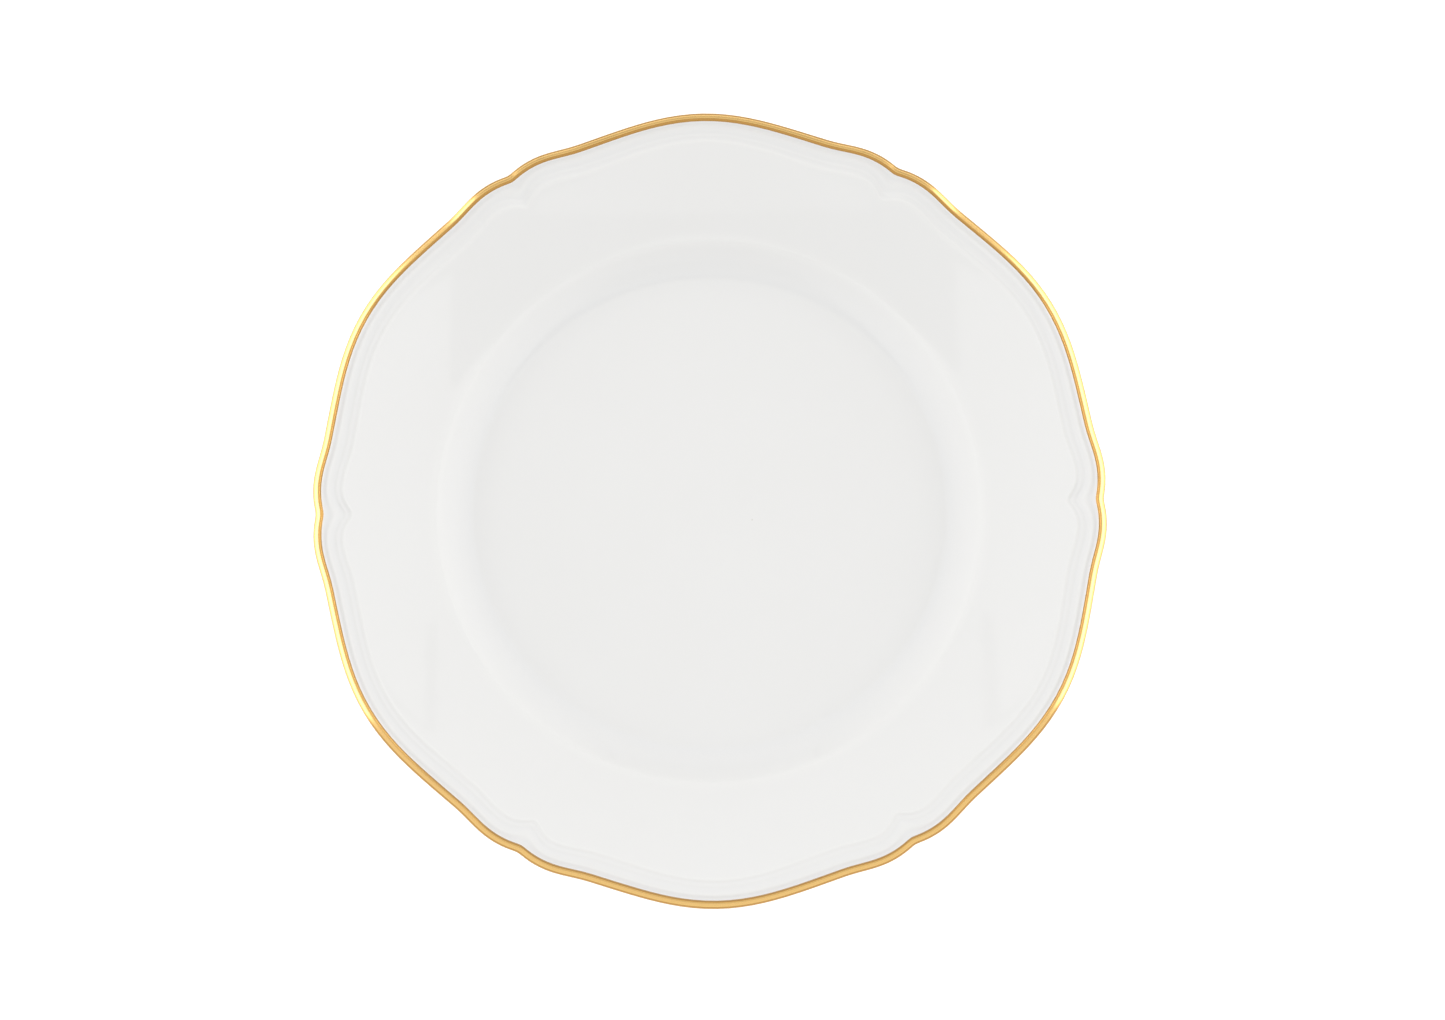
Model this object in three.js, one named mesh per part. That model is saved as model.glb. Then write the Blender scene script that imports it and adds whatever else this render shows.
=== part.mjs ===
// China dinner plate with a six-lobed moulded edge and a gilded lip.
//
// Millimetres, +Z up. The origin is the centre of the plane that the foot ring
// stands on, and one of the small points between two lobes lies on +X.
// Each piece is its cross-section swept around the plate. The pieces share their
// boundary points, so the glaze lies on the body and the gold on the glaze.

import * as THREE from "three";

// ---- Outline of the edge ----
const lobes = 6;
const lobeRadius = 132.5; // plate centre to the middle of a lobe
const hollowDepth = 2.8; // how far the edge dips between a lobe and its end
const hollowAngle = 11.4; // degrees from the point to the dip
const bumpDepth = 1.3; // small swelling beside the point, inside the lobe radius
const bumpAngle = 4.2; // degrees from the point to the swelling
const pointDepth = 2.3; // the point itself, inside the lobe radius

// ---- Well, cove and flange of the face ----
const footHeight = 2.5; // table to the ceiling of the recess under the plate
const floorThickness = 3.9;
const wellRadius = 78.4; // where the flat floor meets the cove
const coveWidth = 12.8; // from there to the shoulder
const coveRise = 5.2; // height of the shoulder above the floor
const coveStartSlope = 5; // degrees
const coveStartShare = 0.5; // share of the cove's width over which its slope grows slowly
const coveEndShare = 0.2; // share of its width over which it turns into the shoulder
const shoulderSlope = 10.5; // degrees, slope of the flange at the shoulder
const rimSlope = 15.5; // degrees, slope of the flange at the edge

// ---- Moulded border, measured inward from the edge ----
const borderWidth = 10.6;
const borderEasing = 6; // degrees by which the border is flatter than the flange
const borderSink = 0.2; // depth of the border below the flange
const innerRidge = 9.5; // fine raised line where the flange ends
const innerRidgeFall = 1.4; // width of its slope down to the border
const outerRidge = 4.5; // fine raised line inside the lip
const ridgeRise = 0.14;
const borderWave = 1.2; // the lines swing wider than the edge by this factor
const borderPoint = 2.2; // extra length of the lines' points

// ---- Lip, back and foot ----
const lipWidth = 2.8;
const lipRise = 0.9; // crest of the lip above the border's own line
const rimThickness = 3.1;
const backRounding = 1.6; // width of the rounding under the edge, which the gold covers
const flangeThickness = 3.6;
const backCoveSlope = 50; // degrees, where the back meets the foot ring
const footOverhang = 1.6; // the foot ring stands this far outside the edge of the well
const footWall = 4.4; // width of the foot ring at its root
const footLand = 1.6; // width of the flat ring that stands on the table
const footBevel = 0.5; // height of the bare bevels beside it
const footDraft = 0.6; // how far each wall of the foot leans

// ---- Skins ----
const glazeThickness = 0.25;
const giltThickness = 0.1;

// ---- Fineness of the meshes ----
const coveSteps = 6;
const backSteps = 4;
const lipSteps = 4; // for the half round of the lip
const backRoundingSteps = 2;

const radians = THREE.MathUtils.degToRad;
const lerp = THREE.MathUtils.lerp;
const halfLobe = 180 / lobes;
const floorTop = footHeight + floorThickness;
const shoulderRadius = wellRadius + coveWidth;
const shoulderTop = floorTop + coveRise;
const footOuter = wellRadius + footOverhang;
const footInner = footOuter - footWall;

// Height of the flange's surface: its slope grows evenly from the shoulder to the edge.
function flangeHeight(radius) {
  const start = Math.tan(radians(shoulderSlope));
  const end = Math.tan(radians(rimSlope));
  const run = radius - shoulderRadius;
  return shoulderTop + run * (start + ((end - start) * run) / (2 * (lobeRadius - shoulderRadius)));
}

// Angle to the nearest point between two lobes, in degrees.
function angleFromPoint(angle) {
  const lobe = 360 / lobes;
  const turned = ((angle % lobe) + lobe) % lobe;
  return Math.min(turned, lobe - turned);
}

// Sharp at 0, where it is 1, and level at 1, where it is 0.
function sharpFall(t) {
  return 1 - Math.sin((Math.PI / 2) * Math.min(1, t));
}

// Level at both ends: 1 at 0, and 0 at 1.
function smoothFall(t) {
  return (1 + Math.cos(Math.PI * t)) / 2;
}

// How far the edge lies inside the lobe radius at an angle.
function edgeDepth(angle) {
  const a = angleFromPoint(angle);
  if (a < bumpAngle) {
    return bumpDepth + (pointDepth - bumpDepth) * sharpFall(a / bumpAngle);
  }
  if (a < hollowAngle) {
    return hollowDepth + (bumpDepth - hollowDepth) * smoothFall((a - bumpAngle) / (hollowAngle - bumpAngle));
  }
  return hollowDepth * smoothFall((a - hollowAngle) / (halfLobe - hollowAngle));
}

// ---- Stations: the points of a cross-section ----

// A point of the round parts, at a fixed radius and height.
function round(radius, height) {
  return { at: () => [radius, height] };
}

// A point that follows the lobed edge: its distance inward, and its height above the border's line.
// Inside the lip it swings wider than the edge, and is drawn inward at each point between two lobes.
function lobed(inset, rise) {
  const share = Math.min(1, Math.max(0, (inset - lipWidth) / (innerRidge - lipWidth)));
  const wave = 1 + (borderWave - 1) * share;
  const point = borderPoint * Math.min(1, 3 * share);
  const easing = Math.max(0, borderWidth - inset) * Math.tan(radians(borderEasing));
  return {
    at: (angle) => {
      const drawn = point * sharpFall(angleFromPoint(angle) / bumpAngle);
      const radius = lobeRadius - inset - wave * edgeDepth(angle) - drawn;
      return [radius, flangeHeight(radius) - easing + rise];
    },
  };
}

// The same cross-section moved along its own normals, to the left of its run when distance is positive.
function offset(stations, distance) {
  const points = stations.map((station) => new THREE.Vector2(...station.at(halfLobe)));
  return stations.map((station, i) => {
    const before = i > 0 ? points[i].clone().sub(points[i - 1]).normalize() : null;
    const after = i < points.length - 1 ? points[i + 1].clone().sub(points[i]).normalize() : null;
    const tangent = (before ?? after).clone().add(after ?? before).normalize();
    const reach = distance / tangent.dot(before ?? after);
    const onAxis = points[i].x === 0;
    const step = onAxis ? [0, distance * Math.sign(tangent.x)] : [-tangent.y * reach, tangent.x * reach];
    return { at: (angle) => station.at(angle).map((value, axis) => value + step[axis]) };
  });
}

// Points along a Bezier curve from start to end, leaving and arriving at the given slopes in degrees.
// Each handle is as wide as its share of the curve. The ends themselves are left out.
function sweptCurve(start, startSlope, startHandle, end, endSlope, endHandle, steps) {
  const width = end[0] - start[0];
  const handle = ([x, y], slope, run) => new THREE.Vector2(x + run, y + run * Math.tan(radians(slope)));
  const line = new THREE.CubicBezierCurve(
    new THREE.Vector2(...start),
    handle(start, startSlope, width * startHandle),
    handle(end, endSlope, -width * endHandle),
    new THREE.Vector2(...end),
  );
  const inner = line.getPoints(steps).slice(1, -1);
  return inner.map((point) => round(point.x, point.y));
}

// ---- Cross-sections of the glazed surface, from the middle of the face outward ----

function flatFace() {
  const start = [wellRadius, floorTop];
  const end = [shoulderRadius, shoulderTop];
  return [
    round(0, floorTop),
    round(...start),
    ...sweptCurve(start, coveStartSlope, coveStartShare, end, shoulderSlope, coveEndShare, coveSteps),
    round(...end),
  ];
}

function mouldedBorder() {
  return [
    lobed(borderWidth, 0),
    lobed(innerRidge, ridgeRise),
    lobed(innerRidge - innerRidgeFall, -borderSink),
    lobed(outerRidge, ridgeRise - borderSink),
  ];
}

// Half round of the lip, then the rounding under the edge.
function lip() {
  const stations = [];
  for (let i = 0; i <= lipSteps; i += 1) {
    const turn = (Math.PI * i) / lipSteps;
    const inset = (lipWidth / 2) * (1 + Math.cos(turn));
    stations.push(lobed(inset, (lipRise + borderSink) * Math.sin(turn) - borderSink));
  }
  for (let i = 1; i <= backRoundingSteps; i += 1) {
    const turn = ((Math.PI / 2) * i) / backRoundingSteps;
    const inset = backRounding * (1 - Math.cos(turn));
    stations.push(lobed(inset, (borderSink - rimThickness) * Math.sin(turn) - borderSink));
  }
  return stations;
}

function back() {
  const flangeBack = shoulderRadius + flangeThickness;
  const start = [flangeBack, flangeHeight(flangeBack) - flangeThickness];
  const end = [footOuter + footDraft, footHeight];
  return [
    lobed(borderWidth, -flangeThickness),
    round(...start),
    ...sweptCurve(start, shoulderSlope, 2 / 5, end, backCoveSlope, 1 / 10, backSteps),
    round(...end),
    round(footOuter, footHeight / 2),
  ];
}

// The bare standing ring, outside to inside.
function foot() {
  const middle = (footOuter + footInner + footDraft) / 2;
  return [
    round(middle + footLand / 2 + footBevel, footBevel),
    round(middle + footLand / 2, 0),
    round(middle - footLand / 2, 0),
    round(middle - footLand / 2 - footBevel, footBevel),
  ];
}

// Ceiling of the recess inside the foot ring, from the ring inward.
function recess() {
  return [
    round(footInner + footDraft, footHeight / 2),
    round(footInner - footDraft, footHeight),
    round(0, footHeight),
  ];
}

// ---- Solids ----

// Angles of the vertices of each ring, mirrored about the middle of every lobe.
function ringAngles() {
  const toHollow = [0, bumpAngle / 2, bumpAngle, (bumpAngle + hollowAngle) / 2, hollowAngle];
  const toMiddle = [1 / 3, 2 / 3].map((t) => lerp(hollowAngle, halfLobe, t));
  const half = [...toHollow, ...toMiddle];
  const lobe = [...half, halfLobe, ...half.slice(1).reverse().map((a) => 2 * halfLobe - a)];
  return Array.from({ length: lobes }, (_, i) => lobe.map((a) => a + 2 * halfLobe * i)).flat();
}

// Sweeps a cross-section around the plate. It either starts and ends on the axis or closes on itself.
function sweep(stations) {
  const angles = ringAngles();
  const open = stations[0].at(0)[0] === 0;
  const positions = [];
  const faces = [];
  const rings = stations.map((station) => {
    const first = positions.length / 3;
    const pole = station.at(0)[0] === 0;
    for (const angle of pole ? [0] : angles) {
      const [radius, height] = station.at(angle);
      positions.push(radius * Math.cos(radians(angle)), radius * Math.sin(radians(angle)), height);
    }
    return { first, pole };
  });
  const point = (i) => new THREE.Vector3().fromArray(positions, 3 * i);
  const index = (ring, i) => (ring.pole ? ring.first : ring.first + (i % angles.length));
  const strips = open ? rings.length - 1 : rings.length;
  for (let j = 0; j < strips; j += 1) {
    const near = rings[j];
    const far = rings[(j + 1) % rings.length];
    for (let i = 0; i < angles.length; i += 1) {
      const [a, b, c, d] = [index(near, i), index(far, i), index(far, i + 1), index(near, i + 1)];
      if (near.pole) faces.push(a, b, c);
      else if (far.pole) faces.push(a, b, d);
      else if (point(a).distanceTo(point(c)) < point(b).distanceTo(point(d))) faces.push(a, b, c, a, c, d);
      else faces.push(a, b, d, b, c, d);
    }
  }
  const geometry = new THREE.BufferGeometry();
  geometry.setAttribute("position", new THREE.Float32BufferAttribute(positions, 3));
  geometry.setIndex(faces);
  geometry.computeVertexNormals();
  return geometry;
}

function reversed(stations) {
  return [...stations].reverse();
}

const insideLip = [...flatFace(), ...mouldedBorder()];
const lipSkin = lip();
const glazed = [...insideLip, ...lipSkin, ...back()];
const bodySkin = offset(glazed, -glazeThickness);
const recessSkin = offset(recess(), -glazeThickness);
const giltTop = offset(lipSkin, giltThickness);

// ---- The pieces ----

function piece(name, stations, color, roughness, metalness) {
  const mesh = new THREE.Mesh(
    sweep(stations),
    new THREE.MeshStandardMaterial({ color, roughness, metalness }),
  );
  mesh.name = name;
  return mesh;
}

const plate = new THREE.Group();

// Fired porcelain: flange, shoulder, well and foot ring are one pressed piece.
plate.add(piece("porcelain_body", [...bodySkin, ...foot(), ...recessSkin], 0xe8e3d8, 0.75, 0));

// Clear glaze over the face, the lip and the back, down to the foot ring's outer wall.
plate.add(piece("glaze_coat", [...glazed, ...reversed(bodySkin)], 0xededeb, 0.06, 0));

// Glaze of the recess inside the foot ring, cut off from the rest by the wiped standing ring.
plate.add(piece("recess_glaze", [...reversed(recessSkin), ...recess()], 0xededeb, 0.06, 0));

// Fired gold over the lip, from the inner foot of its roll to just under the edge.
plate.add(piece("gilt_edge", [...giltTop, ...reversed(lipSkin)], 0xd8a243, 0.18, 1));

export default plate;
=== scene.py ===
import math

import bpy
import numpy as np
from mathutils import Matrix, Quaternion, Vector


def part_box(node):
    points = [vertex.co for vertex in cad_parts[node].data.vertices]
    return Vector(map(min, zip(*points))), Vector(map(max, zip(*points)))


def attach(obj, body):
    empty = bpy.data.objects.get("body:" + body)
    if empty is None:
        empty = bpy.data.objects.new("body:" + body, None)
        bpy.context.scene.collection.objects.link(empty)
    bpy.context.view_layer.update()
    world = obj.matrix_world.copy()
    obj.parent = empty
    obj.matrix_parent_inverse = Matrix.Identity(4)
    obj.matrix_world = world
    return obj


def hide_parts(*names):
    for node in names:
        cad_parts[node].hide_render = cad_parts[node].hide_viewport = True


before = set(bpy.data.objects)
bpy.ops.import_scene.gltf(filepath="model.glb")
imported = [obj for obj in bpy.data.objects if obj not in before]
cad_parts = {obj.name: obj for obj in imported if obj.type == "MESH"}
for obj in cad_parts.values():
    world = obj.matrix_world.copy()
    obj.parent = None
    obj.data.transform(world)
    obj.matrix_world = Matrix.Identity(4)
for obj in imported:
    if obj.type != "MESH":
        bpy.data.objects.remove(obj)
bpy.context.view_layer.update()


# ==== Fired body ====
# The plate's clay: hard porcelain, pressed over a mould that gives it the lobed edge and the fine
# lines of the border, then turned on the back and fired. Glaze hides all of it but the ring that
# it stands on, which is wiped clean before the glaze firing and stays matte.

# Cross-sections are in millimetres and angles in degrees. Meshes are made in metres.
mm = 0.001
lobes = 6
half_lobe = 180 / lobes
lobe_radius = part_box("glaze_coat")[1].y / mm
hollow_depth = 2.8
hollow_angle = 11.4
bump_depth = 1.3
bump_angle = 4.2
point_depth = 2.3
point_rounding = 0.45  # degrees over which the point between two lobes is rounded

floor_top = 6.4
floor_dish = 0.2  # how far the middle of the well has sunk in the firing
well_radius = 78.4
well_fillet = 0.5
shoulder_radius = 91.2
shoulder_top = 11.6
cove_start_slope = 5
cove_start_share = 0.5  # share of the cove's width over which its slope grows slowly
cove_end_share = 0.15  # share of its width over which it turns into the shoulder
shoulder_slope = 10.5
rim_slope = 15.5

border_width = 10.6
border_easing = 6  # degrees by which the border is flatter than the flange
border_swing = 1.2
border_point = 2.2
inner_ridge = 9.5
outer_ridge = 4.45
ridge_rise = 0.1
ridge_width = 0.42
tread_drop = 0.08  # each of the two small steps outside the inner ridge
tread_insets = (9.2, 7.5)
tread_width = 1.0
channel_lift = 0.05  # the border's floor climbs this much again before the outer ridge
channel_rise = 6.4  # where it starts to climb
channel_rise_width = 1.4
channel_fall = 4.1  # where it has fallen back, inside the lip
channel_fall_width = 0.6

lip_width = 2.8
lip_foot = 3.4
rim_thickness = 3.1
back_rounding = 1.6
flange_thickness = 3.6
back_shoulder = shoulder_radius + flange_thickness
back_cove_slope = 50
back_cove_start_share = 2 / 5
back_cove_end_share = 1 / 10

foot_height = 2.5
foot_outer = 80.0
foot_inner = 75.6
foot_land = 1.6
foot_bevel = 0.5
foot_draft = 0.6
recess_corner = 2.2  # width of the fillet between the foot's inner wall and the recess's ceiling
recess_corner_start = 1.95
glaze_thickness = 0.25


def ring_angles():
    """Angles of the vertices of each ring, closer together near the points between the lobes."""
    steps = 28
    along = np.arange(steps) / steps
    rising = half_lobe * (0.35 * along + 0.65 * along**2)
    lobe = np.concatenate([rising, [half_lobe], 2 * half_lobe - rising[:0:-1]])
    return np.concatenate([lobe + 2 * half_lobe * i for i in range(lobes)])


angles = ring_angles()
turned = np.mod(angles, 2 * half_lobe)
nearest = np.minimum(turned, 2 * half_lobe - turned)
at_point = np.exp(-((nearest / point_rounding / 3) ** 2))
from_point = np.hypot(nearest, point_rounding) - point_rounding * at_point


def smooth_step(t):
    t = np.clip(t, 0, 1)
    return t * t * (3 - 2 * t)


def swell(distance, width):
    return np.exp(-0.5 * (distance / width) ** 2)


def sharp_fall(t):
    """1 at 0, where it is sharp, and 0 at 1, where it is level."""
    return 1 - np.sin(math.pi / 2 * np.minimum(1, t))


def level_fall(t):
    """1 at 0 and 0 at 1, level at both ends."""
    return (1 + np.cos(math.pi * np.clip(t, 0, 1))) / 2


def edge_depth():
    """How far the edge lies inside the lobe radius, at each ring angle."""
    near = bump_depth + (point_depth - bump_depth) * sharp_fall(from_point / bump_angle)
    middle_run = (from_point - bump_angle) / (hollow_angle - bump_angle)
    middle = hollow_depth + (bump_depth - hollow_depth) * level_fall(middle_run)
    far = hollow_depth * level_fall((from_point - hollow_angle) / (half_lobe - hollow_angle))
    return np.where(from_point < bump_angle, near, np.where(from_point < hollow_angle, middle, far))


edge_inside = edge_depth()
point_share = sharp_fall(from_point / bump_angle)


def flange_height(radius):
    """The flange's slope grows evenly from the shoulder to the edge."""
    start = math.tan(math.radians(shoulder_slope))
    end = math.tan(math.radians(rim_slope))
    run = radius - shoulder_radius
    return shoulder_top + run * (start + (end - start) * run / (2 * (lobe_radius - shoulder_radius)))


def round_ring(radius, height):
    return np.tile([radius, height], (len(angles), 1)).astype(float)


def lobed_ring(inset, rise):
    """A ring that follows the edge: its distance inward, and its height above the border's line."""
    share = np.clip((inset - lip_width) / (inner_ridge - lip_width), 0, 1)
    swing = 1 + (border_swing - 1) * share
    point = border_point * np.minimum(1, 3 * share)
    radius = lobe_radius - inset - swing * edge_inside - point * point_share
    eased = np.maximum(0, border_width - inset) * math.tan(math.radians(border_easing))
    return np.stack([radius, flange_height(radius) - eased + rise], axis=1)


def curve_through(points, headings, steps, reach=0.38):
    """A smooth line through points, with its heading in degrees at each of them."""
    line = [points[0]]
    for i in range(len(points) - 1):
        start, end = np.array(points[i], float), np.array(points[i + 1], float)
        handle = reach * np.linalg.norm(end - start)
        leave, arrive = [
            handle * np.array([math.cos(math.radians(h)), math.sin(math.radians(h))])
            for h in (headings[i], headings[i + 1])
        ]
        for t in np.linspace(0, 1, steps + 1)[1:]:
            weights = [(1 - t) ** 3, 3 * t * (1 - t) ** 2, 3 * t * t * (1 - t), t**3]
            line.append(sum(w * p for w, p in zip(weights, [start, start + leave, end - arrive, end])))
    return [tuple(p) for p in line]


def bezier(start, start_slope, start_share, end, end_slope, end_share, steps):
    """A cubic curve whose handles are each a share of its width, as on the turner's template."""
    width = end[0] - start[0]
    first, last = width * start_share, -width * end_share
    handles = [
        start,
        (start[0] + first, start[1] + first * math.tan(math.radians(start_slope))),
        (end[0] + last, end[1] + last * math.tan(math.radians(end_slope))),
        end,
    ]
    line = []
    for t in np.linspace(0, 1, steps + 1):
        weights = [(1 - t) ** 3, 3 * t * (1 - t) ** 2, 3 * t * t * (1 - t), t**3]
        line.append(tuple(sum(w * p[k] for w, p in zip(weights, handles)) for k in (0, 1)))
    return line


def border_relief(inset):
    """Height of the moulded lines and treads above the border's line."""
    relief = ridge_rise * (swell(inset - inner_ridge, ridge_width) + swell(inset - outer_ridge, ridge_width))
    for tread in tread_insets:
        relief -= tread_drop * smooth_step((tread - inset) / tread_width)
    relief += channel_lift * smooth_step((channel_rise - inset) / channel_rise_width)
    return relief - channel_lift * smooth_step((channel_fall - inset) / channel_fall_width)


def well_rings():
    """From the middle of the face to the edge of the flat floor, then up the cove to the shoulder."""
    rings = []
    for share in np.linspace(0, 1, 8):
        radius = (well_radius - well_fillet) * share
        rings.append(round_ring(radius, floor_top - floor_dish * (1 - share**2)))
    cove = bezier((well_radius, floor_top), cove_start_slope, cove_start_share,
                  (shoulder_radius, shoulder_top), shoulder_slope, cove_end_share, 24)
    fillet = curve_through([(well_radius - well_fillet, floor_top), cove[1]], [0.5, cove_start_slope + 1], 5)
    rings += [round_ring(*point) for point in fillet[1:]]
    rings += [round_ring(*point) for point in cove[2:]]
    return rings


def flange_rings():
    """From the shoulder to the border. The rings change from round to lobed on the way."""
    lobed_radius = lobed_ring(border_width, 0)[:, 0]
    rings = []
    for share in np.linspace(0, 1, 11)[1:]:
        radius = shoulder_radius + (lobed_radius - shoulder_radius) * share
        rings.append(np.stack([radius, flange_height(radius)], axis=1))
    return rings


def border_rings():
    insets = np.linspace(border_width, lip_foot, 40)[1:-1]
    return [lobed_ring(inset, border_relief(inset)) for inset in insets]


def lip_line(steps):
    """The lip's cross-section, as distance inward and rise, from its foot to the underside of the edge."""
    points = [(lip_foot, -0.16), (2.45, 0.35), (1.95, 0.84), (1.55, 0.72), (0.7, -0.08), (0, -0.98),
              (back_rounding, -rim_thickness)]
    return curve_through(points, [180, 118, 180, 222, 228, 270, 360], steps)


def back_rings():
    """The back of the flange, its cove and the outer wall of the foot, down to where glaze ends."""
    rings = []
    for share in np.linspace(0, 1, 9)[1:]:
        inset = back_rounding + (border_width - back_rounding) * share
        thickness = rim_thickness + (flange_thickness - rim_thickness) * share
        rings.append(lobed_ring(inset, -thickness))
    lobed_radius = rings[-1][:, 0]
    for share in np.linspace(0, 1, 7)[1:]:
        radius = lobed_radius + (back_shoulder - lobed_radius) * share
        rings.append(np.stack([radius, flange_height(radius) - flange_thickness], axis=1))
    start = (back_shoulder, flange_height(back_shoulder) - flange_thickness)
    end = (foot_outer + foot_draft, foot_height)
    cove = bezier(start, shoulder_slope, back_cove_start_share,
                  end, back_cove_slope, back_cove_end_share, 16)
    wall = [(foot_outer + foot_draft / 2, foot_height * 0.75), (foot_outer, foot_height / 2)]
    return rings + [round_ring(*point) for point in cove[1:] + wall]


def recess_rings():
    """The inner wall of the foot from where glaze ends, its fillet, and the ceiling to the middle."""
    ceiling_radius = foot_inner - recess_corner
    points = [(foot_inner + foot_draft, foot_height / 2), (foot_inner, recess_corner_start),
              (ceiling_radius, foot_height)]
    fillet = [round_ring(*point) for point in curve_through(points, [116, 122, 180], 5)]
    ceiling = [round_ring(ceiling_radius * share, foot_height) for share in np.linspace(1, 0, 9)[1:]]
    return fillet + ceiling


def standing_rings():
    """The bare ring under the foot, outside to inside, with its wiped and softened corners."""
    middle = (foot_outer + foot_inner + foot_draft) / 2
    half = foot_land / 2
    corner = [(half + foot_bevel, foot_bevel), (half + 0.28, 0.2), (half + 0.1, 0.06), (half - 0.08, 0.0)]
    line = [(middle + reach, height) for reach, height in corner]
    line += [(middle - reach, height) for reach, height in corner[::-1]]
    return [round_ring(*point) for point in line]


def moved_along_normals(rings, distance):
    """The same cross-section moved to the left of its run, by one distance or by one for each ring."""
    rows = np.array(rings)
    distances = np.broadcast_to(distance, len(rings))
    ahead, behind = np.roll(rows, -1, axis=0) - rows, rows - np.roll(rows, 1, axis=0)
    ahead[-1], behind[0] = behind[-1], ahead[0]
    unit = [side / np.maximum(np.linalg.norm(side, axis=2, keepdims=True), 1e-9) for side in (ahead, behind)]
    tangent = unit[0] + unit[1]
    tangent /= np.linalg.norm(tangent, axis=2, keepdims=True)
    reach = distances[:, None] / np.sum(tangent * unit[0], axis=2)
    moved = rows + np.stack([-tangent[:, :, 1] * reach, tangent[:, :, 0] * reach], axis=2)
    on_axis = rows[:, 0, 0] == 0
    moved[on_axis, :, 0] = 0
    return list(moved)


def turned_mesh(name, rings, values=None):
    """A closed mesh swept around the plate. Rings at radius 0 become one vertex. Values go on its points."""
    vertices, firsts = [], []
    for ring in rings:
        firsts.append(len(vertices))
        if ring[0, 0] == 0:
            vertices.append((0, 0, ring[0, 1] * mm))
            continue
        x = ring[:, 0] * np.cos(np.radians(angles)) * mm
        y = ring[:, 0] * np.sin(np.radians(angles)) * mm
        vertices += list(zip(x, y, ring[:, 1] * mm))
    poles = [ring[0, 0] == 0 for ring in rings]
    count = len(angles)
    strips = len(rings) - 1 if poles[0] else len(rings)
    faces = []
    for j in range(strips):
        k = (j + 1) % len(rings)
        for i in range(count):
            n = (i + 1) % count
            if poles[j]:
                faces.append((firsts[j], firsts[k] + i, firsts[k] + n))
            elif poles[k]:
                faces.append((firsts[j] + i, firsts[k], firsts[j] + n))
            else:
                faces.append((firsts[j] + i, firsts[k] + i, firsts[k] + n, firsts[j] + n))
    mesh = bpy.data.meshes.new(name)
    mesh.from_pydata(vertices, [], faces)
    for attribute, per_ring in (values or {}).items():
        data = np.concatenate([np.full(1 if pole else count, v) for pole, v in zip(poles, per_ring)])
        made = mesh.attributes.new(attribute, "FLOAT", "POINT")
        made.data.foreach_set("value", data.astype(np.float32))
    mesh.shade_smooth()
    mesh.set_sharp_from_angle(angle=math.radians(50))
    piece = bpy.data.objects.new(name, mesh)
    bpy.context.scene.collection.objects.link(piece)
    return piece


def node(tree, kind, inputs=None, **settings):
    """A shader node with its settings, and its inputs given as values or as sockets to link."""
    made = tree.nodes.new("ShaderNode" + kind)
    for setting, value in settings.items():
        setattr(made, setting, value)
    for socket, value in (inputs or {}).items():
        if isinstance(value, bpy.types.NodeSocket):
            tree.links.new(value, made.inputs[socket])
        else:
            made.inputs[socket].default_value = value
    return made


def math_node(tree, operation, first, second=0.0):
    return node(tree, "Math", {0: first, 1: second}, operation=operation).outputs[0]


def mixed_colour(tree, share, first, second):
    mix = node(tree, "Mix", {0: share, 6: first, 7: second}, data_type="RGBA")
    return mix.outputs[2]


def new_group(name, inputs, outputs):
    """A shader node group with named number inputs and outputs, its tree, and its ends."""
    tree = bpy.data.node_groups.new(name, "ShaderNodeTree")
    for socket, value in inputs.items():
        made = tree.interface.new_socket(socket, in_out="INPUT", socket_type="NodeSocketFloat")
        made.default_value = value
    for socket in outputs:
        tree.interface.new_socket(socket, in_out="OUTPUT", socket_type="NodeSocketFloat")
    return tree, tree.nodes.new("NodeGroupInput").outputs, tree.nodes.new("NodeGroupOutput").inputs


def use_group(tree, group, inputs):
    placed = node(tree, "Group", node_tree=group)
    for socket, value in inputs.items():
        placed.inputs[socket].default_value = value
    return placed.outputs


def build_mottle():
    """Slow, cloudy unevenness of a fired surface at two scales. Frequencies are per metre."""
    tree, given, out = new_group("fired_mottle", {"Frequency": 40.0, "Contrast": 1.0}, ["Value"])
    place = node(tree, "TexCoord").outputs["Object"]
    broad = node(tree, "TexNoise", {"Vector": place, "Scale": given["Frequency"], "Detail": 2.0})
    fine_frequency = math_node(tree, "MULTIPLY", given["Frequency"], 4.7)
    fine = node(tree, "TexNoise", {"Vector": place, "Scale": fine_frequency, "Detail": 3.0})
    both = math_node(tree, "ADD", broad.outputs[0], math_node(tree, "MULTIPLY", fine.outputs[0], 0.5))
    centred = math_node(tree, "SUBTRACT", both, 0.75)
    spread = math_node(tree, "MULTIPLY", centred, given["Contrast"])
    tree.links.new(math_node(tree, "ADD", spread, 0.5), out["Value"])
    return tree


def build_specks():
    """Scattered small specks, as iron grains burn out in a white body: few cells hold one."""
    tree, given, out = new_group("iron_specks", {"Frequency": 60.0, "Size": 0.02, "Share": 0.2}, ["Mask"])
    place = node(tree, "TexCoord").outputs["Object"]
    cells = node(tree, "TexVoronoi", {"Vector": place, "Scale": given["Frequency"]})
    pick = node(tree, "SeparateColor", {"Color": cells.outputs["Color"]}).outputs
    held = math_node(tree, "LESS_THAN", pick[0], given["Share"])
    size = math_node(tree, "MULTIPLY", given["Size"], math_node(tree, "ADD", pick[1], 0.4))
    inside = node(tree, "MapRange", {"Value": cells.outputs["Distance"], "From Min": 0.0, "From Max": size,
                                     "To Min": 1.0, "To Max": 0.0}, interpolation_type="SMOOTHSTEP")
    tree.links.new(math_node(tree, "MULTIPLY", held, inside.outputs[0]), out["Mask"])
    return tree


mottle = build_mottle()
specks = build_specks()


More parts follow.
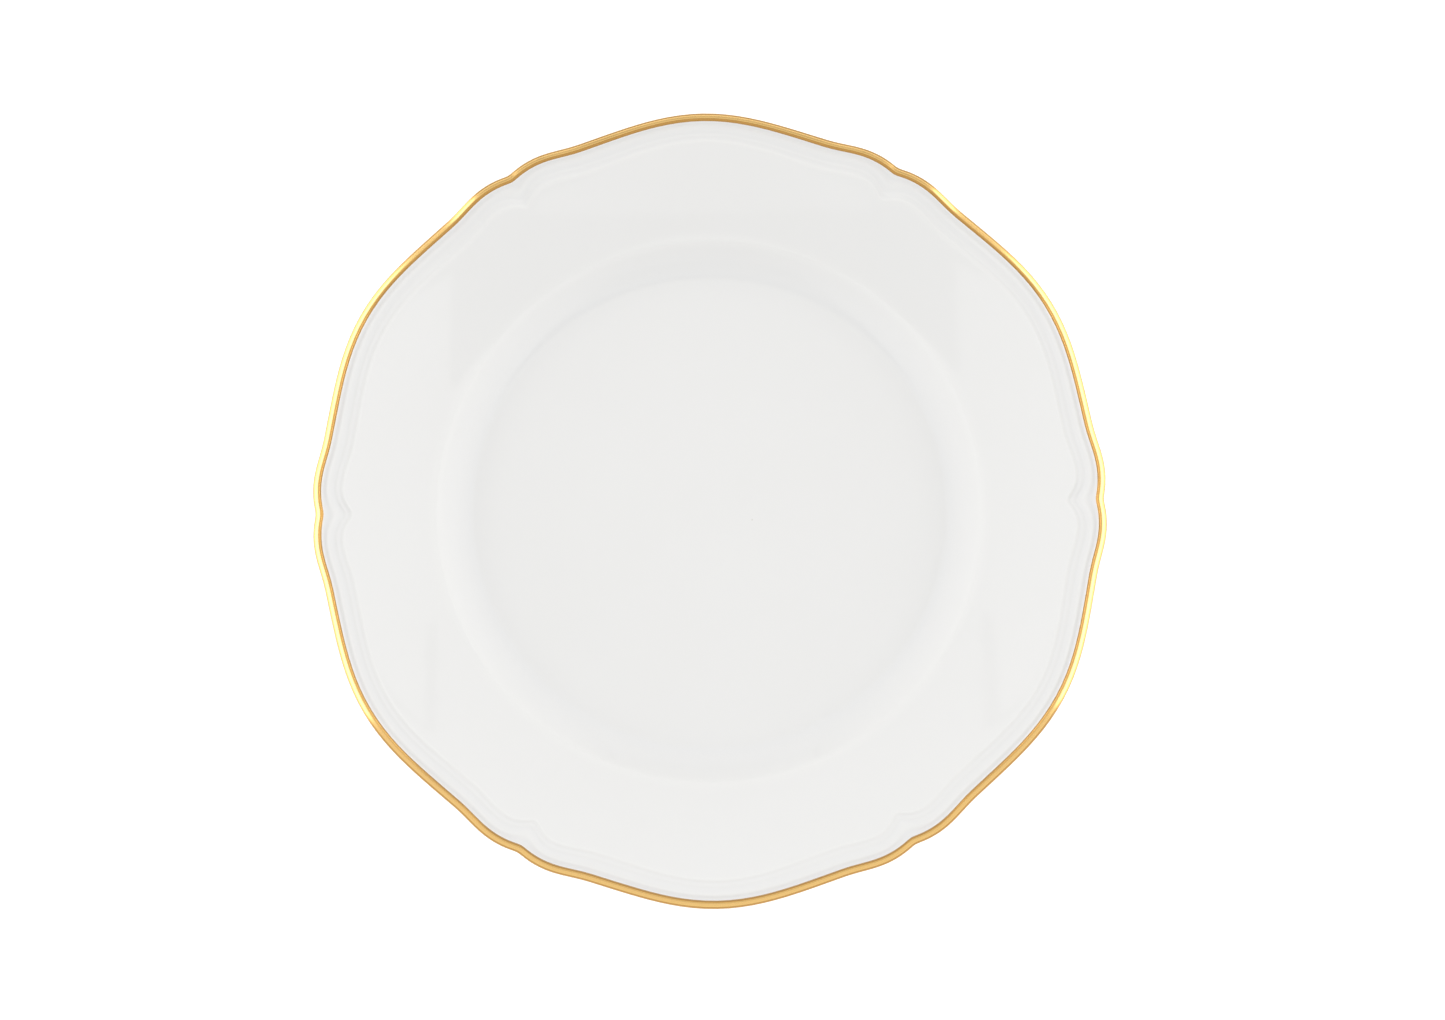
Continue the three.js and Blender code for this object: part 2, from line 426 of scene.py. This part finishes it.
def biscuit_finish():
    """Bare fired clay: matte, with fine sandy grit, a few dark grains, and a rubbed grey contact line."""
    material = bpy.data.materials.new("bare_biscuit")
    material.use_nodes = True
    tree = material.node_tree
    surface = tree.nodes["Principled BSDF"]
    place = node(tree, "TexCoord").outputs["Object"]
    clouds = use_group(tree, mottle, {"Frequency": 90.0, "Contrast": 1.3})["Value"]
    grains = use_group(tree, specks, {"Frequency": 900.0, "Size": 0.3, "Share": 0.16})["Mask"]
    grit = node(tree, "TexNoise", {"Vector": place, "Scale": 3800.0, "Detail": 4.0,
                                   "Roughness": 0.7}).outputs[0]
    height = node(tree, "SeparateXYZ", {"Vector": place}).outputs["Z"]
    rubbed = node(tree, "MapRange", {"Value": height, "From Min": 0.0, "From Max": 0.25 * mm,
                                     "To Min": 1.0, "To Max": 0.0}).outputs[0]
    clay = mixed_colour(tree, clouds, (0.70, 0.655, 0.575, 1), (0.80, 0.765, 0.69, 1))
    grained = mixed_colour(tree, grains, clay, (0.42, 0.36, 0.29, 1))
    worn = math_node(tree, "MULTIPLY", rubbed, math_node(tree, "MULTIPLY", grit, 0.5))
    tree.links.new(mixed_colour(tree, worn, grained, (0.47, 0.46, 0.45, 1)), surface.inputs["Base Color"])
    roughness = node(tree, "MapRange", {"Value": grit, "To Min": 0.62, "To Max": 0.9}).outputs[0]
    tree.links.new(roughness, surface.inputs["Roughness"])
    bump = node(tree, "Bump", {"Strength": 0.6, "Distance": 0.03 * mm, "Height": grit})
    tree.links.new(bump.outputs[0], surface.inputs["Normal"])
    return material


face_rings = well_rings() + flange_rings() + border_rings()
lip_rings = [lobed_ring(inset, rise) for inset, rise in lip_line(5)]
glazed_rings = face_rings + lip_rings + back_rings()
body_rings = moved_along_normals(glazed_rings, -glaze_thickness)
recess_skin = moved_along_normals(recess_rings(), -glaze_thickness)

body = turned_mesh("fired_body", body_rings + standing_rings() + recess_skin)
body.data.materials.append(biscuit_finish())
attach(body, "root")
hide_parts("porcelain_body")


# ==== Glaze of the face and back ====
# A clear glass, about a quarter of a millimetre thick, that the fired body is dipped in. It flows
# in the kiln: it runs thin over the ridges and the shoulder, and pools in the channel of the border
# and at the foot of the lip. Its colour is lighter and warmer over the ridges and the shoulder, and a
# little greyer and cooler in the hollows. This is partly the glaze's thickness, and partly painted
# highlight and painted shade.

pooling_reach = 1.3  # millimetres along the surface over which the glaze evens out
pooling_depth = 0.12  # millimetres of hollow that hold a full pool


def pooled(rings):
    """How much the glaze pools at each ring: 1 in a hollow, -1 over an edge, 0 on the flat. The glaze's
    colour also uses it to place painted shade in the hollows and painted highlight over the edges.
    """
    line = np.array([ring[len(angles) // lobes // 2] for ring in rings])
    step = np.linalg.norm(np.diff(line, axis=0), axis=1)
    along = np.concatenate([[0], np.cumsum(step)])
    weight = np.gradient(along)
    slope = np.gradient(line, along, axis=0)
    normal = np.stack([-slope[:, 1], slope[:, 0]], axis=1)
    near = np.exp(-0.5 * ((along[:, None] - along[None, :]) / pooling_reach) ** 2) * weight[None, :]
    evened = near @ line / near.sum(axis=1, keepdims=True)
    return np.clip(np.sum((evened - line) * normal, axis=1) / pooling_depth, -1, 1)


def build_ripple():
    """Orange peel: the long, shallow waves of a glaze that has set, with faint turning rings in them."""
    tree, given, out = new_group("glaze_ripple", {"Frequency": 200.0, "Rings": 0.3}, ["Height"])
    place = node(tree, "TexCoord").outputs["Object"]
    peel = node(tree, "TexNoise", {"Vector": place, "Scale": given["Frequency"], "Detail": 0.5,
                                   "Roughness": 0.35}).outputs[0]
    from_above = node(tree, "VectorMath", {0: place, 1: (1, 1, 0)}, operation="MULTIPLY").outputs[0]
    radius = node(tree, "VectorMath", {0: from_above}, operation="LENGTH").outputs[1]
    turning = node(tree, "TexNoise", {"W": radius, "Scale": 420.0, "Detail": 2.0},
                   noise_dimensions="1D").outputs[0]
    rings = math_node(tree, "MULTIPLY", turning, given["Rings"])
    tree.links.new(math_node(tree, "ADD", peel, rings), out["Height"])
    return tree


ripple = build_ripple()


def glaze_finish(name, tint_frequency, ripple_frequency, ring_share):
    """White china under clear glass, with pooling, cloudy tint, a few iron specks and orange peel. The
    pooling colour is partly painted shade in the hollows and painted highlight over the edges.
    """
    material = bpy.data.materials.new(name)
    material.use_nodes = True
    tree = material.node_tree
    surface = tree.nodes["Principled BSDF"]
    pool = node(tree, "Attribute", attribute_name="pool").outputs["Fac"]
    clouds = use_group(tree, mottle, {"Frequency": tint_frequency, "Contrast": 1.0})["Value"]
    grains = use_group(tree, specks, {"Frequency": 75.0, "Size": 0.026, "Share": 0.12})["Mask"]
    white = mixed_colour(tree, clouds, (0.775, 0.772, 0.760, 1), (0.785, 0.783, 0.773, 1))
    # Greyer in the hollows and lighter over the edges: partly the glaze's thickness, partly painted shade
    # and painted highlight.
    deep = node(tree, "MapRange", {"Value": pool, "To Min": 0.0, "To Max": 1.0}).outputs[0]
    painted_edge_share = node(tree, "MapRange", {"Value": pool, "From Min": 0.0, "From Max": -1.0}).outputs[0]
    pooled_tint_and_painted_shade = mixed_colour(tree, deep, white, (0.772, 0.773, 0.770, 1))
    thin_glaze_and_painted_highlight = mixed_colour(tree, painted_edge_share, pooled_tint_and_painted_shade, (0.795, 0.792, 0.778, 1))
    speck_share = math_node(tree, "MULTIPLY", grains, 0.45)
    speckled = mixed_colour(tree, speck_share, thin_glaze_and_painted_highlight, (0.45, 0.40, 0.34, 1))
    tree.links.new(speckled, surface.inputs["Base Color"])
    roughness = node(tree, "MapRange", {"Value": clouds, "To Min": 0.018, "To Max": 0.035}).outputs[0]
    tree.links.new(roughness, surface.inputs["Roughness"])
    surface.inputs["IOR"].default_value = 1.52
    height = use_group(tree, ripple, {"Frequency": ripple_frequency, "Rings": ring_share})["Height"]
    bump = node(tree, "Bump", {"Strength": 1.0, "Distance": 0.014 * mm, "Height": height})
    tree.links.new(bump.outputs[0], surface.inputs["Normal"])
    return material


glaze = turned_mesh(
    "face_and_back_glaze",
    glazed_rings + body_rings[::-1],
    {"pool": np.concatenate([pooled(glazed_rings), np.zeros(len(body_rings))])},
)
glaze.data.materials.append(glaze_finish("clear_glaze", 28.0, 150.0, 0.08))
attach(glaze, "root")
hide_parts("glaze_coat")


# ==== Glaze of the recess ====
# The same glaze in the hollow under the plate, inside the foot. Wiping the standing ring cuts it
# off from the rest, so it is a patch of its own. It lies thicker there and shows the turning rings.

recess_line = recess_rings()
recess = turned_mesh(
    "recess_glaze_patch",
    recess_skin[::-1] + recess_line,
    {"pool": np.concatenate([np.zeros(len(recess_line)), pooled(recess_line)])},
)
recess.data.materials.append(glaze_finish("recess_glaze", 45.0, 130.0, 0.6))
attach(recess, "root")
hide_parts("recess_glaze")


# ==== Gold band ====
# Liquid gold, banded on by brush over the rolled lip and burnt in at a low heat. It is a thin film
# that sits a hair into the glaze. The brush leaves streaks along the band and slightly uneven
# edges. The brown along both edges of the band and in a line on its outer slope is painted dark reflection.

film_thickness = 0.06
film_sunk = 0.012  # how deep the film's underside lies in the softened glaze
band_start = 0.62  # where the band starts on the lip's inner flank, as a share of its first stretch
band_end = 5.97  # where it ends under the edge: 6 is the end of the lip's line
band_waver = 0.035
band_steps = 34


def waver(seed):
    """A slow unevenness around the plate, as a brush gives, that closes on itself."""
    chance = np.random.default_rng(seed)
    total = np.zeros(len(angles))
    for waves in (3, 7, 11, 19, 31):
        total += np.sin(np.radians(angles) * waves + chance.uniform(0, 2 * math.pi)) / math.sqrt(waves)
    return total / 1.2


def band_rings():
    """Rings on the lip from the band's inner edge to its outer one, and their place across the band."""
    line = np.array(lip_line(24))
    places = np.linspace(0, 6, len(line))
    first = band_start + band_waver * waver(seed=4)
    last = band_end + band_waver * waver(seed=9) * 0.6
    rings = []
    for share in np.linspace(0, 1, band_steps):
        along = first + (last - first) * share
        inset = np.interp(along, places, line[:, 0])
        rise = np.interp(along, places, line[:, 1])
        rings.append(lobed_ring(inset, rise))
    return rings, np.linspace(0, 1, band_steps)


def gold_finish():
    """Burnt-in bright gold with brushed streaks and pits, and painted dark reflection: browner at both edges
    of the band and in a line at 0.74 of the way across.
    """
    material = bpy.data.materials.new("burnt_in_gold")
    material.use_nodes = True
    tree = material.node_tree
    surface = tree.nodes["Principled BSDF"]
    surface.inputs["Metallic"].default_value = 1.0
    place = node(tree, "TexCoord").outputs["Object"]
    across = node(tree, "Attribute", attribute_name="across").outputs["Fac"]
    strokes = math_node(tree, "MULTIPLY", across, 6.0)
    streak = node(tree, "TexNoise", {"Vector": place, "W": strokes, "Scale": 55.0, "Detail": 3.0,
                                     "Roughness": 0.6}, noise_dimensions="4D").outputs[0]
    clouds = use_group(tree, mottle, {"Frequency": 120.0, "Contrast": 1.2})["Value"]
    pits = use_group(tree, specks, {"Frequency": 700.0, "Size": 0.12, "Share": 0.12})["Mask"]
    both = math_node(tree, "MULTIPLY", streak, math_node(tree, "ADD", clouds, 0.5))
    gold = mixed_colour(tree, both, (0.81, 0.515, 0.185, 1), (0.84, 0.555, 0.215, 1))
    # Painted dark reflection: browner towards the inner and the outer edge of the band.
    inner_dark_reflection = node(tree, "MapRange", {"Value": across, "From Min": 0.20, "From Max": 0.35, "To Min": 1.0,
                                    "To Max": 0.0}, interpolation_type="SMOOTHSTEP").outputs[0]
    outer_dark_reflection = node(tree, "MapRange", {"Value": across, "From Min": 0.93, "From Max": 1.0},
                 interpolation_type="SMOOTHSTEP").outputs[0]
    painted_edge_share = math_node(tree, "MULTIPLY", math_node(tree, "ADD", inner_dark_reflection, outer_dark_reflection), 0.85)
    with_painted_reflections = mixed_colour(tree, painted_edge_share, gold, (0.54, 0.285, 0.07, 1))
    # Painted dark reflection: a browner line at 0.74 of the way across, on the lip's outer slope.
    from_dark_line = math_node(tree, "ABSOLUTE", math_node(tree, "SUBTRACT", across, 0.74))
    outer_slope_reflection = node(tree, "MapRange", {"Value": from_dark_line, "From Min": 0.06, "From Max": 0.11, "To Min": 0.9,
                                      "To Max": 0.0}, interpolation_type="SMOOTHSTEP").outputs[0]
    with_painted_reflections = mixed_colour(tree, outer_slope_reflection, with_painted_reflections, (0.53, 0.30, 0.09, 1))
    pit_share = math_node(tree, "MULTIPLY", pits, 0.5)
    pitted = mixed_colour(tree, pit_share, with_painted_reflections, (0.45, 0.24, 0.08, 1))
    tree.links.new(pitted, surface.inputs["Base Color"])
    roughness = node(tree, "MapRange", {"Value": streak, "From Min": 0.3, "From Max": 0.7,
                                        "To Min": 0.12, "To Max": 0.21}).outputs[0]
    tree.links.new(roughness, surface.inputs["Roughness"])
    bump = node(tree, "Bump", {"Strength": 0.5, "Distance": 0.002 * mm, "Height": streak})
    tree.links.new(bump.outputs[0], surface.inputs["Normal"])
    return material


band, across = band_rings()
cushion = np.sin(math.pi * across) ** 0.35
band_top = moved_along_normals(band, -film_sunk + (film_thickness + film_sunk) * cushion)
band_under = moved_along_normals(band, -film_sunk)[1:-1]
gold = turned_mesh(
    "gold_band",
    band_top + band_under[::-1],
    {"across": np.concatenate([across, across[1:-1][::-1]])},
)
gold.data.materials.append(gold_finish())
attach(gold, "root")
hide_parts("gilt_edge")


# ==== Studio ====
# A white table in a white light tent, with a bright panel low on each side, and darker where the
# tent is open under the camera and beyond the table. The plate lies on its foot, and the camera
# looks down on its face almost squarely.

table_radius = 9.0
table_corners = 96
tent_light = 1.03
white_light = 1.1  # of the tent as the camera sees it


def soft_band(tree, value, low, high, softness=0.02):
    """1 where the value lies between low and high, with soft ends."""
    rising = node(tree, "MapRange", {"Value": value, "From Min": low - softness,
                                     "From Max": low + softness}, interpolation_type="SMOOTHSTEP").outputs[0]
    falling = node(tree, "MapRange", {"Value": value, "From Min": high - softness,
                                      "From Max": high + softness, "To Min": 1.0, "To Max": 0.0},
                   interpolation_type="SMOOTHSTEP").outputs[0]
    return math_node(tree, "MULTIPLY", rising, falling)


def light_tent():
    """The tent as light by direction: x to the right, y away from the camera's feet, z straight up."""
    world = bpy.data.worlds.new("light_tent")
    world.use_nodes = True
    tree = world.node_tree
    direction = node(tree, "SeparateXYZ", {"Vector": node(tree, "TexCoord").outputs["Generated"]}).outputs
    sideways = math_node(tree, "ABSOLUTE", direction["X"])
    total = tent_light
    panels = [
        # sideways from, to; away from, to; up from, to; softness; light above the tent's own
        (0.31, 0.80, -0.50, 0.60, -1.0, 2.0, 0.02, 0.06),
        (0.62, 2.0, -0.42, 0.80, -1.0, 0.33, 0.03, 2.3),
        (-1.0, 0.28, -0.203, -0.01, -1.0, 2.0, 0.003, -0.6),
        (-1.0, 0.30, -0.62, -0.203, -1.0, 2.0, 0.003, -0.27),
        (0.29, 0.303, 0.25, 2.0, -1.0, 2.0, 0.003, -0.5),
        (-1.0, 2.0, 0.80, 2.0, -1.0, 0.70, 0.03, -0.24),
    ]
    for left, right, near, far, low, high, softness, light in panels:
        mask = math_node(tree, "MULTIPLY", soft_band(tree, sideways, left, right, softness),
                         soft_band(tree, direction["Y"], near, far, softness))
        mask = math_node(tree, "MULTIPLY", mask, soft_band(tree, direction["Z"], low, high, softness))
        total = math_node(tree, "ADD", math_node(tree, "MULTIPLY", mask, light), total)
    seen = node(tree, "LightPath").outputs["Is Camera Ray"]
    strength = node(tree, "Mix", {0: seen, 2: total, 3: white_light}).outputs[0]
    tree.links.new(strength, tree.nodes["Background"].inputs["Strength"])
    tree.nodes["Background"].inputs["Color"].default_value = (1, 1, 1, 1)
    bpy.context.scene.world = world


def white_table():
    """A round matte white table top, lit a little from below so that it stays white around the plate."""
    mesh = bpy.data.meshes.new("white_table")
    around = np.linspace(0, 2 * math.pi, table_corners + 1)[:-1]
    mesh.from_pydata([(table_radius * math.cos(a), table_radius * math.sin(a), 0) for a in around],
                     [], [list(range(table_corners))])
    table = bpy.data.objects.new("white_table", mesh)
    bpy.context.scene.collection.objects.link(table)
    material = bpy.data.materials.new("table_laminate")
    material.use_nodes = True
    tree = material.node_tree
    surface = tree.nodes["Principled BSDF"]
    surface.inputs["Base Color"].default_value = (0.88, 0.88, 0.88, 1)
    surface.inputs["Roughness"].default_value = 0.9
    surface.inputs["Specular IOR Level"].default_value = 0.1
    surface.inputs["Emission Color"].default_value = (1, 1, 1, 1)
    surface.inputs["Emission Strength"].default_value = 0.32
    mesh.materials.append(material)


def place_camera():
    """A long lens, almost square to the face: the plate seems to lean back by a few degrees."""
    distance = 1.4525
    elevation = math.radians(82.45)
    roll = math.radians(1.125)
    edge_height = 19.4 * mm
    off_centre = Vector((4.22 * mm, -1.19 * mm, 0))
    back = Vector((0, -math.cos(elevation), math.sin(elevation)))
    turn = (-back).to_track_quat("-Z", "Y") @ Quaternion((0, 0, 1), -roll)
    data = bpy.data.cameras.new("studio_camera")
    data.sensor_width = 36.0
    data.lens = 109.6
    data.clip_end = 100.0
    camera = bpy.data.objects.new("studio_camera", data)
    bpy.context.scene.collection.objects.link(camera)
    camera.rotation_mode = "QUATERNION"
    camera.rotation_quaternion = turn
    camera.location = Vector((0, 0, edge_height)) + back * distance + turn @ off_centre
    bpy.context.scene.camera = camera


light_tent()
white_table()
place_camera()
bpy.context.scene.view_settings.view_transform = "Standard"
